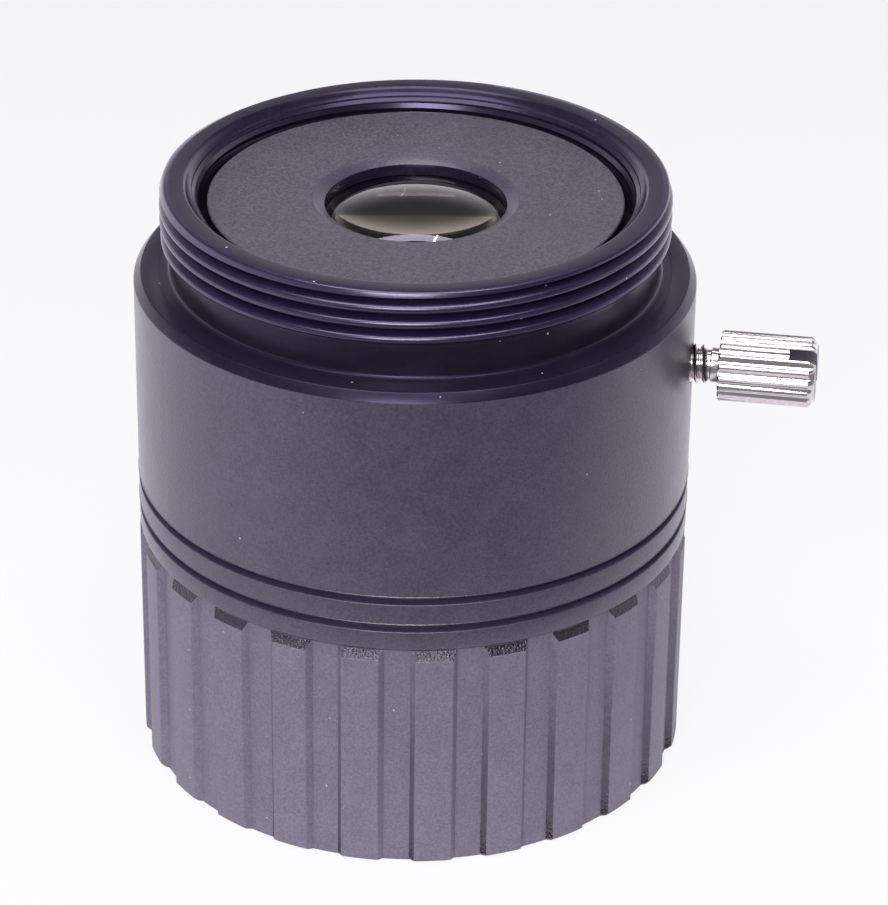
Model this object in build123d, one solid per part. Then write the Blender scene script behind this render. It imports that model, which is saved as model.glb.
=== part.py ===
from build123d import *
import os
from math import asin, cos, pi, sin, sqrt

# A fixed-focal camera lens that stands on its front rim with the camera thread up.
# Lengths are in millimetres. The origin is on the optical axis, in the plane of the mounting flange.
# +Z points to the camera, and the focus lock screw stands on +X.

# Camera thread: one inch, 32 threads per inch. Its crests are rings here, and every other radius
# follows from it, inwards to the glass and outwards to the ribs.
thread_major_r = 12.65
thread_pitch = 25.4 / 32
thread_depth = 0.49
thread_crest_land = 0.12
thread_crest_count = 3
first_crest_below_rim = 0.88

# Rear barrel
mount_length = 4.62
rim_chamfer = 0.2
rim_bevel = 0.59
barrel_length = 10.99
flange_chamfer_radial = 0.35
flange_chamfer_height = 0.44
flange_undercut_width = 0.6
flange_undercut_depth = 0.05
mount_wall = 1.3
rear_bore_gap = 0.53
rear_bore_depth = 2.75
spigot_wall = 1.67
spigot_length = 4.86
face_gap = 0.02

# Turned grooves: the seam above the focusing ring and the groove in it
groove_width = 0.4
groove_depth = 0.5

# Focusing ring
band_width = 1.13
second_band_width = 0.96
ribbed_length = 11.79
ring_running_clearance = 0.05
ring_flange_length = 3.1
neck_length = 0.14
neck_sink = 0.04
ring_wall = 0.7
rib_count = 24
rib_phase = -1.5
rib_depth = 0.33
rib_proud = 0.03
rib_face_width = 1.83
rib_foot_width = 2.3
rib_top_chamfer = 0.59
foot_chamfer = 0.2
foot_bevel = 0.25

# Thread between focusing ring and lens cell, left as plain cylinders
helicoid_space = 1.0
helicoid_clearance = 0.05
focus_turn = 300.0
focus_lead = 1.5

# Lens cell
cell_wall = 2.69
cell_running_clearance = 0.04
cell_recess = 0.93
cell_flange_gap = 0.45
cell_flange_length = 4.6
cell_nose_step = 1.0
cell_nose_length = 2.4
rear_seat_width = 1.7
rear_hole_bevel = 0.68
rear_hole_bevel_depth = 0.32
rear_wall = 0.9

# Lock nut and washer that keep the focusing ring on the spigot
washer_thickness = 0.2
washer_bore_clearance = 0.05
nut_thickness = 0.87
nut_length = 1.3
nut_clearance = 0.02
nut_chamfer = 0.2
nut_notch_width = 1.0
nut_notch_depth = 0.5

# Guide pin that keeps the cell from turning, and stop pin that ends the ring's turn
guide_pin_r = 0.6
guide_pin_reach = 0.9
guide_pin_sink = 0.1
guide_pin_side_clearance = 0.05
guide_pin_angle = 180.0
guide_slot_end_clearance = 0.3
stop_pin_r = 0.4
stop_pin_angle = 30.0
stop_pin_depth = 1.4
stop_pin_reach = 0.8
stop_slot_clearance = 0.1
stop_slot_end_clearance = 0.2

# Glass stack, from the rear to the front. A curve is the radius of a face.
glass_gap = 0.02
glass_side_gap = 0.03
glass_step = 1.4
front_glass_step = 1.0
retaining_ring_step = 1.0
rear_element_edge = 1.6
rear_element_rear_curve = 12.0
rear_element_front_curve = 30.0
rear_spacer_length = 4.0
rear_spacer_wall = 0.9
crown_edge = 1.0
crown_rear_curve = 16.0
cement_curve = 14.0
cement_gap = 0.01
flint_edge = 2.4
flint_front_curve = 40.0
doublet_spacer_length = 2.2
stop_plate_thickness = 0.15
stop_hole_r = 2.6
second_element_edge = 1.4
second_element_rear_curve = 20.0
second_element_front_curve = 12.0
front_spacer_wall = 1.0
front_element_edge = 3.2
front_element_rear_curve = 14.0
front_element_front_curve = 22.0
front_element_seat_width = 1.0
seal_width = 0.5
seal_height = 0.5
retaining_ring_length = 2.7
retaining_ring_width = 2.2
retaining_ring_recess = 0.37
retaining_ring_bevel = 1.5
retaining_notch_width = 1.0
retaining_notch_depth = 0.6

# Focus lock screw and its pad
screw_below_flange = 4.28
screw_r = 1.0
screw_pitch = 0.4
screw_thread_depth = 0.22
screw_crest_land = 0.05
screw_hole_clearance = 0.03
screw_dog_length = 0.4
screw_neck_r = 0.9
screw_neck_length = 0.42
head_standoff = 1.39
head_length = 4.8
head_r = 1.77
head_outer_chamfer = 0.33
head_inner_chamfer = 0.08
knurl_count = 19
knurl_depth = 0.14
knurl_groove_share = 0.75
slot_width = 0.64
slot_depth = 1.35
slot_angle = 35.0
pad_r = 0.85
pad_length = 0.6
pad_stem_r = 0.4
pad_stem_length = 0.5
pad_stem_clearance = 0.03

# How far a cutter stands past what it cuts
overshoot = 1.0

# Radii, from the camera thread inwards
relief_r = thread_major_r - thread_depth
seat_inner_r = relief_r + flange_undercut_width
rear_bore_r = relief_r - mount_wall
cell_bore_r = rear_bore_r - rear_bore_gap
cell_r = cell_bore_r - cell_running_clearance
front_glass_r = cell_r - cell_wall
rear_glass_r = front_glass_r - glass_step
rear_hole_r = rear_glass_r - rear_seat_width
rear_clear_r = rear_glass_r - rear_spacer_wall
front_clear_r = front_glass_r - front_spacer_wall
front_element_r = front_glass_r + front_glass_step
retaining_ring_r = front_element_r + retaining_ring_step
retaining_ring_inner_r = retaining_ring_r - retaining_ring_width
retaining_bore_r = retaining_ring_r + glass_side_gap

# Radii, from the cell's bore outwards
spigot_r = cell_bore_r + spigot_wall
nut_r = spigot_r + nut_thickness
helicoid_r = spigot_r + helicoid_space
cell_flange_r = helicoid_r - helicoid_clearance
cell_nose_r = helicoid_r - cell_nose_step
rib_root_r = helicoid_r + ring_wall
rib_outer_r = rib_root_r + rib_depth
neck_r = rib_root_r - neck_sink
barrel_r = rib_outer_r - rib_proud
groove_floor_r = barrel_r - groove_depth
stop_pin_place_r = (spigot_r + groove_floor_r) / 2

# Levels of the outside, from the rear rim down to the foot
rim_z = mount_length
first_crest_z = rim_z - first_crest_below_rim
barrel_end_z = -barrel_length
ring_top_z = barrel_end_z - groove_width
seam_z = ring_top_z + face_gap
band_end_z = ring_top_z - band_width
second_groove_end_z = band_end_z - groove_width
second_band_end_z = second_groove_end_z - second_band_width
rib_top_z = second_band_end_z - neck_length
foot_z = rib_top_z - rib_top_chamfer - ribbed_length
screw_z = -screw_below_flange

# Levels inside the focusing ring
spigot_end_z = seam_z - spigot_length
ring_flange_end_z = ring_top_z - ring_flange_length
washer_top_z = ring_flange_end_z - face_gap
nut_top_z = washer_top_z - washer_thickness
nut_end_z = nut_top_z - nut_length
guide_pin_z = (ring_top_z + ring_flange_end_z) / 2
focus_travel = focus_lead * focus_turn / 360
stop_slot_depth = stop_pin_reach + stop_slot_end_clearance

# Levels of the lens cell
rear_bore_end_z = rim_z - rear_bore_depth
cell_rear_z = rim_z - cell_recess
cell_flange_top_z = spigot_end_z - cell_flange_gap
cell_flange_end_z = cell_flange_top_z - cell_flange_length
cell_nose_end_z = cell_flange_end_z - cell_nose_length

# Levels of the glass stack
seat_z = cell_rear_z - rear_wall
rear_element_rear_z = seat_z - glass_gap
rear_element_front_z = rear_element_rear_z - rear_element_edge
rear_spacer_top_z = rear_element_front_z - glass_gap
crown_rear_z = rear_spacer_top_z - rear_spacer_length - glass_gap
crown_front_z = crown_rear_z - crown_edge
flint_rear_z = crown_front_z - cement_gap
flint_front_z = flint_rear_z - flint_edge
doublet_spacer_top_z = flint_front_z - glass_gap
stop_z = doublet_spacer_top_z - doublet_spacer_length
stop_plate_top_z = stop_z - glass_gap
second_rear_z = stop_plate_top_z - stop_plate_thickness - glass_gap
second_front_z = second_rear_z - second_element_edge
front_spacer_top_z = second_front_z - glass_gap

# Levels of the front stack, from the cell's nose up. The front spacer fills what is left.
retaining_ring_end_z = cell_nose_end_z + retaining_ring_recess
retaining_ring_top_z = retaining_ring_end_z + retaining_ring_length
seal_end_z = retaining_ring_top_z + glass_gap
seal_top_z = seal_end_z + seal_height
front_element_front_z = seal_top_z + glass_gap
front_element_rear_z = front_element_front_z + front_element_edge
front_seat_z = front_element_rear_z + glass_gap

# Places of the focus lock screw, as distances from the optical axis
pad_start = cell_bore_r
pad_end = pad_start + pad_length
screw_tip = pad_end + face_gap
head_start = barrel_r + head_standoff
head_end = head_start + head_length
screw_thread_end = head_start - screw_neck_length


def ring_about_axis(points):
    """Turn an outline of (radius, height) points about the Z axis."""
    outline = Polyline(*[(radius, 0, height) for radius, height in points], close=True)
    return revolve(make_face(outline), Axis.Z)


def disc(radius, low, high):
    """A plain disc on the Z axis, between two heights."""
    return Pos(0, 0, low) * Cylinder(radius, high - low, align=(Align.CENTER, Align.CENTER, Align.MIN))


def tube(outer_r, inner_r, low, high):
    """A plain tube on the Z axis, between two heights."""
    return disc(outer_r, low, high) - disc(inner_r, low - overshoot, high + overshoot)


def radial_rod(radius, start, end, angle, height):
    """A rod square to the optical axis, from one distance from the axis to another."""
    return Rot(0, 0, angle) * Pos(0, 0, height) * Rot(0, 90, 0) * disc(radius, start, end)


def sag(curve, radius):
    """Height of a spherical cap over a circle of the given radius."""
    return curve - sqrt(curve * curve - radius * radius)


def thread_outline(major_r, pitch, depth, land, first_crest, crests, way):
    """Outline points of ring crests and the grooves between them, going up (1) or down (-1)."""
    points = []
    for crest in range(crests):
        middle = first_crest + way * crest * pitch
        points.append((major_r - depth, middle - way * pitch / 2))
        points.append((major_r, middle - way * land / 2))
        points.append((major_r, middle + way * land / 2))
    last_crest = first_crest + way * (crests - 1) * pitch
    points.append((major_r - depth, last_crest + way * pitch / 2))
    return points


def lead_in_point():
    """Where the camera thread's topmost groove opens into the chamfer of the rim."""
    groove_z = first_crest_z + thread_pitch / 2
    flank_rise = (thread_pitch - thread_crest_land) / 2 / thread_depth
    chamfer_start_r = thread_major_r - rim_chamfer
    radius = (rim_z + chamfer_start_r - groove_z + relief_r * flank_rise) / (1 + flank_rise)
    return radius, rim_z - (radius - chamfer_start_r)


def build_mount_barrel():
    """Rear barrel: camera thread, relief, flange, smooth outside, stepped end and spigot."""
    outline = [
        (cell_bore_r, rear_bore_end_z),
        (rear_bore_r, rear_bore_end_z),
        (rear_bore_r, rim_z - rim_bevel),
        (rear_bore_r + rim_bevel, rim_z),
        (thread_major_r - rim_chamfer, rim_z),
        lead_in_point(),
    ]
    outline += thread_outline(thread_major_r, thread_pitch, thread_depth, thread_crest_land,
                              first_crest_z, thread_crest_count, -1)
    outline += [
        (relief_r, -flange_undercut_depth),
        (seat_inner_r, -flange_undercut_depth),
        (seat_inner_r, 0),
        (barrel_r - flange_chamfer_radial, 0),
        (barrel_r, -flange_chamfer_height),
        (barrel_r, barrel_end_z),
        (groove_floor_r, barrel_end_z),
        (groove_floor_r, seam_z),
        (spigot_r, seam_z),
        (spigot_r, spigot_end_z),
        (cell_bore_r, spigot_end_z),
    ]
    barrel = ring_about_axis(outline)
    barrel -= radial_rod(screw_r + screw_hole_clearance, cell_r - overshoot, barrel_r + overshoot, 0, screw_z)
    barrel -= radial_rod(guide_pin_r, cell_r - overshoot, spigot_r + overshoot, guide_pin_angle, guide_pin_z)
    return barrel - stop_slot()


def stop_slot():
    """The arc slot in the barrel's stepped end, in which the stop pin runs."""
    half_width = stop_pin_r + stop_slot_clearance
    inner_r = stop_pin_place_r - half_width
    outer_r = stop_pin_place_r + half_width
    low = seam_z - overshoot
    high = seam_z + stop_slot_depth
    section = Polyline((inner_r, 0, low), (outer_r, 0, low), (outer_r, 0, high), (inner_r, 0, high), close=True)
    arc = Rot(0, 0, stop_pin_angle) * revolve(make_face(section), Axis.Z, focus_turn)
    first_end = Rot(0, 0, stop_pin_angle) * Pos(stop_pin_place_r, 0, 0) * disc(half_width, low, high)
    last_end = Rot(0, 0, focus_turn) * first_end
    return arc + first_end + last_end


def build_guide_pin():
    """Pin in the spigot that runs in the cell's slot."""
    return radial_rod(guide_pin_r, cell_r - guide_pin_reach, spigot_r - guide_pin_sink, guide_pin_angle,
                      guide_pin_z)


def build_focus_ring():
    """Focusing ring: bearing flange, groove, bands, ribs, thread bore and foot."""
    flange_bore_r = spigot_r + ring_running_clearance
    ring = ring_about_axis([
        (flange_bore_r, ring_top_z),
        (barrel_r, ring_top_z),
        (barrel_r, band_end_z),
        (groove_floor_r, band_end_z),
        (groove_floor_r, second_groove_end_z),
        (barrel_r, second_groove_end_z),
        (barrel_r, second_band_end_z),
        (neck_r, second_band_end_z),
        (neck_r, rib_top_z),
        (rib_outer_r, rib_top_z - rib_top_chamfer),
        (rib_outer_r, foot_z + foot_chamfer),
        (rib_outer_r - foot_chamfer, foot_z),
        (helicoid_r + foot_bevel, foot_z),
        (helicoid_r, foot_z + foot_bevel),
        (helicoid_r, ring_flange_end_z),
        (flange_bore_r, ring_flange_end_z),
    ])
    valley = valley_cutter()
    ring -= [Rot(0, 0, rib_phase + 360 / rib_count * (step + 0.5)) * valley for step in range(rib_count)]
    pin_hole = disc(stop_pin_r, ring_top_z - stop_pin_depth, ring_top_z + overshoot)
    return ring - Rot(0, 0, stop_pin_angle) * Pos(stop_pin_place_r, 0, 0) * pin_hole


def valley_cutter():
    """The cutter for one valley between two ribs: a round floor and two sloped walls."""
    half_pitch = pi / rib_count
    half_root = half_pitch - asin(rib_foot_width / 2 / rib_root_r)
    half_face = half_pitch - asin(rib_face_width / 2 / rib_outer_r)
    reach_r = rib_outer_r + overshoot
    half_reach = half_face + (half_face - half_root) / (rib_outer_r - rib_root_r) * overshoot

    def at(radius, angle):
        return radius * cos(angle), radius * sin(angle)

    floor = ThreePointArc(at(rib_root_r, -half_root), at(rib_root_r, 0), at(rib_root_r, half_root))
    walls = Polyline(at(rib_root_r, half_root), at(reach_r, half_reach), at(reach_r, -half_reach),
                     at(rib_root_r, -half_root))
    low = foot_z - overshoot
    high = second_band_end_z - neck_length / 2
    return Pos(0, 0, low) * extrude(make_face(floor + walls), high - low)


def build_stop_pin():
    """Pin in the focusing ring that stands up into the barrel's arc slot."""
    pin = disc(stop_pin_r, ring_top_z - stop_pin_depth, seam_z + stop_pin_reach)
    return Rot(0, 0, stop_pin_angle) * Pos(stop_pin_place_r, 0, 0) * pin


def build_thrust_washer():
    """Washer between the focusing ring and its lock nut."""
    return tube(nut_r, spigot_r + washer_bore_clearance, nut_top_z, washer_top_z)


def build_lock_nut():
    """Nut on the spigot, with two spanner notches in its front face."""
    nut = ring_about_axis([
        (spigot_r + nut_clearance, nut_top_z),
        (nut_r, nut_top_z),
        (nut_r, nut_end_z + nut_chamfer),
        (nut_r - nut_chamfer, nut_end_z),
        (spigot_r + nut_clearance, nut_end_z),
    ])
    notches = Box(2 * (nut_r + overshoot), nut_notch_width, 2 * nut_notch_depth)
    return nut - Pos(0, 0, nut_end_z) * notches


def build_lens_cell():
    """Cell: rear face with bevelled hole, guided tube, threaded flange, nose and stepped glass bores."""
    outline = [
        (rear_hole_r, seat_z),
        (rear_hole_r, cell_rear_z - rear_hole_bevel_depth),
        (rear_hole_r + rear_hole_bevel, cell_rear_z),
        (cell_r, cell_rear_z),
        (cell_r, cell_flange_top_z),
        (cell_flange_r, cell_flange_top_z),
        (cell_flange_r, cell_flange_end_z),
        (cell_nose_r, cell_flange_end_z),
        (cell_nose_r, cell_nose_end_z),
        (retaining_bore_r, cell_nose_end_z),
        (retaining_bore_r, seal_top_z),
        (front_element_r + glass_side_gap, seal_top_z),
        (front_element_r + glass_side_gap, front_seat_z),
        (front_glass_r + glass_side_gap, front_seat_z),
        (front_glass_r + glass_side_gap, stop_z),
        (rear_glass_r + glass_side_gap, stop_z),
        (rear_glass_r + glass_side_gap, seat_z),
    ]
    slot_floor_r = cell_r - guide_pin_reach - guide_pin_side_clearance
    slot_width_all = 2 * (guide_pin_r + guide_pin_side_clearance)
    slot_low = guide_pin_z - guide_pin_r - guide_slot_end_clearance
    slot_high = guide_pin_z + guide_pin_r + focus_travel + guide_slot_end_clearance
    slot = Box(cell_r + overshoot - slot_floor_r, slot_width_all, slot_high - slot_low,
               align=(Align.MIN, Align.CENTER, Align.MIN))
    return ring_about_axis(outline) - Rot(0, 0, guide_pin_angle) * Pos(slot_floor_r, 0, slot_low) * slot


def lens_face(edge_r, edge_z, curve, clear_r, outward):
    """Outline of one lens face, from the axis to the rim: a round arc and a flat seat around it.

    A positive curve bulges out of the lens and a negative one is hollow. outward is 1 on the rear face
    and -1 on the front face.
    """
    way = outward if curve > 0 else -outward
    vertex_z = edge_z + way * sag(abs(curve), clear_r)
    middle_r = clear_r / 2
    middle_z = vertex_z - way * sag(abs(curve), middle_r)
    face = ThreePointArc((0, 0, vertex_z), (middle_r, 0, middle_z), (clear_r, 0, edge_z))
    if clear_r < edge_r:
        face += Line((clear_r, 0, edge_z), (edge_r, 0, edge_z))
    return face, vertex_z


def lens(edge_r, rear_z, front_z, rear_curve, rear_clear, front_curve, front_clear):
    """A lens on the optical axis, with its rim between two heights."""
    rear, rear_vertex_z = lens_face(edge_r, rear_z, rear_curve, rear_clear, 1)
    front, front_vertex_z = lens_face(edge_r, front_z, front_curve, front_clear, -1)
    rim = Line((edge_r, 0, rear_z), (edge_r, 0, front_z))
    axis_line = Line((0, 0, rear_vertex_z), (0, 0, front_vertex_z))
    return revolve(make_face(rear + rim + front + axis_line), Axis.Z)


def build_rear_element():
    """Domed rear lens. Its dome fills the hole in the cell's rear wall."""
    return lens(rear_glass_r, rear_element_rear_z, rear_element_front_z,
                rear_element_rear_curve, rear_hole_r - glass_side_gap,
                rear_element_front_curve, rear_clear_r)


def build_doublet_crown():
    """First glass of the cemented pair."""
    return lens(rear_glass_r, crown_rear_z, crown_front_z, crown_rear_curve, rear_clear_r,
                cement_curve, rear_glass_r)


def build_doublet_flint():
    """Second glass of the cemented pair."""
    return lens(rear_glass_r, flint_rear_z, flint_front_z, -cement_curve, rear_glass_r,
                -flint_front_curve, rear_clear_r)


def build_second_element():
    """Meniscus in front of the aperture stop."""
    return lens(front_glass_r, second_rear_z, second_front_z, -second_element_rear_curve, front_clear_r,
                second_element_front_curve, front_clear_r)


def build_front_element():
    """Front meniscus, seated at its edge."""
    return lens(front_element_r, front_element_rear_z, front_element_front_z,
                -front_element_rear_curve, front_clear_r,
                front_element_front_curve, front_element_r - front_element_seat_width)


def build_retaining_ring():
    """Threaded ring with a bevelled opening and two notches, at the front of the cell."""
    ring = ring_about_axis([
        (retaining_ring_inner_r, retaining_ring_top_z),
        (retaining_ring_r, retaining_ring_top_z),
        (retaining_ring_r, retaining_ring_end_z),
        (retaining_ring_inner_r + retaining_ring_bevel, retaining_ring_end_z),
        (retaining_ring_inner_r, retaining_ring_end_z + retaining_ring_bevel),
    ])
    notches = Box(2 * (retaining_ring_r + overshoot), retaining_notch_width, 2 * retaining_notch_depth)
    return ring - Pos(0, 0, retaining_ring_end_z) * notches


def lay_on_screw_axis(piece):
    """Lay a piece that was modelled along +Z on the lock screw's axis, along +X."""
    return Pos(0, 0, screw_z) * Rot(0, 90, 0) * piece


def build_thumbscrew():
    """Focus lock screw: threaded shank, neck, knurled head with a slot, and a bore for the pad's stem."""
    root_r = screw_r - screw_thread_depth
    crests = int((screw_thread_end - screw_tip - screw_dog_length) / screw_pitch)
    first_crest = screw_thread_end - screw_pitch / 2 - (crests - 1) * screw_pitch
    profile = [(0, screw_tip), (root_r, screw_tip)]
    profile += thread_outline(screw_r, screw_pitch, screw_thread_depth, screw_crest_land,
                              first_crest, crests, 1)
    profile += [
        (screw_neck_r, screw_thread_end),
        (screw_neck_r, head_start),
        (head_r - head_inner_chamfer, head_start),
        (head_r, head_start + head_inner_chamfer),
        (head_r, head_end - head_outer_chamfer),
        (head_r - head_outer_chamfer, head_end),
        (0, head_end),
    ]
    screw = ring_about_axis(profile)
    groove = knurl_cutter()
    screw -= [Rot(0, 0, 360 / knurl_count * step) * groove for step in range(knurl_count)]
    slot = Box(2 * (head_r + overshoot), slot_width, 2 * slot_depth)
    screw -= Rot(0, 0, slot_angle) * Pos(0, 0, head_end) * slot
    stem_bore_r = pad_stem_r + pad_stem_clearance
    screw -= disc(stem_bore_r, screw_tip - overshoot, pad_end + pad_stem_length + pad_stem_clearance)
    return lay_on_screw_axis(screw)


def knurl_cutter():
    """The cutter for one groove of the straight knurl."""
    half_width = head_r * sin(pi / knurl_count) * knurl_groove_share
    outline = Polyline((head_r - knurl_depth, 0), (head_r + knurl_depth, 2 * half_width),
                       (head_r + knurl_depth, -2 * half_width), close=True)
    return Pos(0, 0, head_start - face_gap) * extrude(make_face(outline), head_length + overshoot)


def build_lock_pad():
    """Soft pad with a stem that snaps into the screw's tip."""
    return lay_on_screw_axis(disc(pad_r, pad_start, pad_end) + disc(pad_stem_r, pad_end, pad_end + pad_stem_length))


pieces = {
    "mount_barrel": build_mount_barrel(),
    "guide_pin": build_guide_pin(),
    "focus_ring": build_focus_ring(),
    "stop_pin": build_stop_pin(),
    "thrust_washer": build_thrust_washer(),
    "ring_lock_nut": build_lock_nut(),
    "lens_cell": build_lens_cell(),
    "rear_element": build_rear_element(),
    "rear_spacer": tube(rear_glass_r, rear_clear_r, rear_spacer_top_z - rear_spacer_length, rear_spacer_top_z),
    "doublet_crown": build_doublet_crown(),
    "doublet_flint": build_doublet_flint(),
    "doublet_spacer": tube(rear_glass_r, rear_clear_r, stop_z, doublet_spacer_top_z),
    "aperture_stop": tube(front_glass_r, stop_hole_r, stop_plate_top_z - stop_plate_thickness, stop_plate_top_z),
    "second_element": build_second_element(),
    "front_spacer": tube(front_glass_r, front_clear_r, front_seat_z, front_spacer_top_z),
    "front_element": build_front_element(),
    "front_seal": tube(front_element_r, front_element_r - seal_width, seal_end_z, seal_top_z),
    "front_retaining_ring": build_retaining_ring(),
    "lock_pad": build_lock_pad(),
    "thumbscrew": build_thumbscrew(),
}

os.makedirs("parts", exist_ok=True)
for name, piece in pieces.items():
    piece.label = name
    export_step(piece, f"parts/{name}.step")
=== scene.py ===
import logging
import math
from dataclasses import dataclass
from enum import Enum

import bmesh
import bpy
from bmesh.types import BMesh, BMFace, BMVert
from bpy.types import Material, Node, NodeSocket, NodeTree, Object
from mathutils import Matrix, Vector


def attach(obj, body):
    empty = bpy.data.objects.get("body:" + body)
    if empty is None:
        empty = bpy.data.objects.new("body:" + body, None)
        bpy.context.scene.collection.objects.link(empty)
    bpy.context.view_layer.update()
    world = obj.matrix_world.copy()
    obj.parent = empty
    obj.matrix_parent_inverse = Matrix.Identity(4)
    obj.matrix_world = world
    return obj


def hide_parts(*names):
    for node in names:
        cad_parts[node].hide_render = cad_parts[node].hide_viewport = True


# A fixed-focal camera lens that stands on its front rim, the camera thread up. Sizes are in millimetres
# and become metres where a mesh is made. The origin is on the optical axis, in the mounting flange's plane.

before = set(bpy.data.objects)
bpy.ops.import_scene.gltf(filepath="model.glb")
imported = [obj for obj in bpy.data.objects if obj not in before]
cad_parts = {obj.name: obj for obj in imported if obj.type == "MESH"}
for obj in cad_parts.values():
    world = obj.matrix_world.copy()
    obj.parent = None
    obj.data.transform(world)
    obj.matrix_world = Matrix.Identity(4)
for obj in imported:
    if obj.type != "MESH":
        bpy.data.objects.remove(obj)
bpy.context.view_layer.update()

MM = 0.001
FULL_TURN = 2 * math.pi

log = logging.getLogger("lens")

Outline = list[tuple[float, float]]
Rounds = dict[int, tuple[float, int]]
Steps = tuple[tuple[float, float], ...]


# Nodes and colours.


def linear(code: str) -> tuple[float, float, float, float]:
    """Turn an sRGB hex colour into the linear colour that the shaders take.

    Args:
        code: The colour as "#RRGGBB".

    Returns:
        Red, green, blue and alpha, linear.
    """
    channels = [int(code[place:place + 2], 16) / 255 for place in (1, 3, 5)]
    straight = [value / 12.92 if value <= 0.04045 else ((value + 0.055) / 1.055) ** 2.4 for value in channels]
    return straight[0], straight[1], straight[2], 1.0


def add_node(tree: NodeTree, kind: str, inputs: dict | None = None, **settings: str) -> Node:
    """Add a node with its settings and links.

    Args:
        tree: The node tree that gets it.
        kind: The node's type name.
        inputs: For each input, by name or number, its value or what feeds it: an output socket, or a node
            with its first output.
        settings: Values for the node's own properties.

    Returns:
        The new node.
    """
    node = tree.nodes.new(kind)
    for name, value in settings.items():
        setattr(node, name, value)
    for key, value in (inputs or {}).items():
        source = value.outputs[0] if isinstance(value, Node) else value
        if isinstance(source, NodeSocket):
            tree.links.new(source, node.inputs[key])
        else:
            node.inputs[key].default_value = source
    return node


def new_material(name: str) -> tuple[Material, NodeTree, NodeSocket]:
    """Make a node material that has no shader yet.

    Args:
        name: The material's name.

    Returns:
        The material, its node tree and the point on the piece that its patterns read.
    """
    material = bpy.data.materials.new(name)
    material.use_nodes = True
    material.node_tree.nodes.clear()
    place = add_node(material.node_tree, "ShaderNodeTexCoord").outputs["Object"]
    return material, material.node_tree, place


# Finishes.


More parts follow.
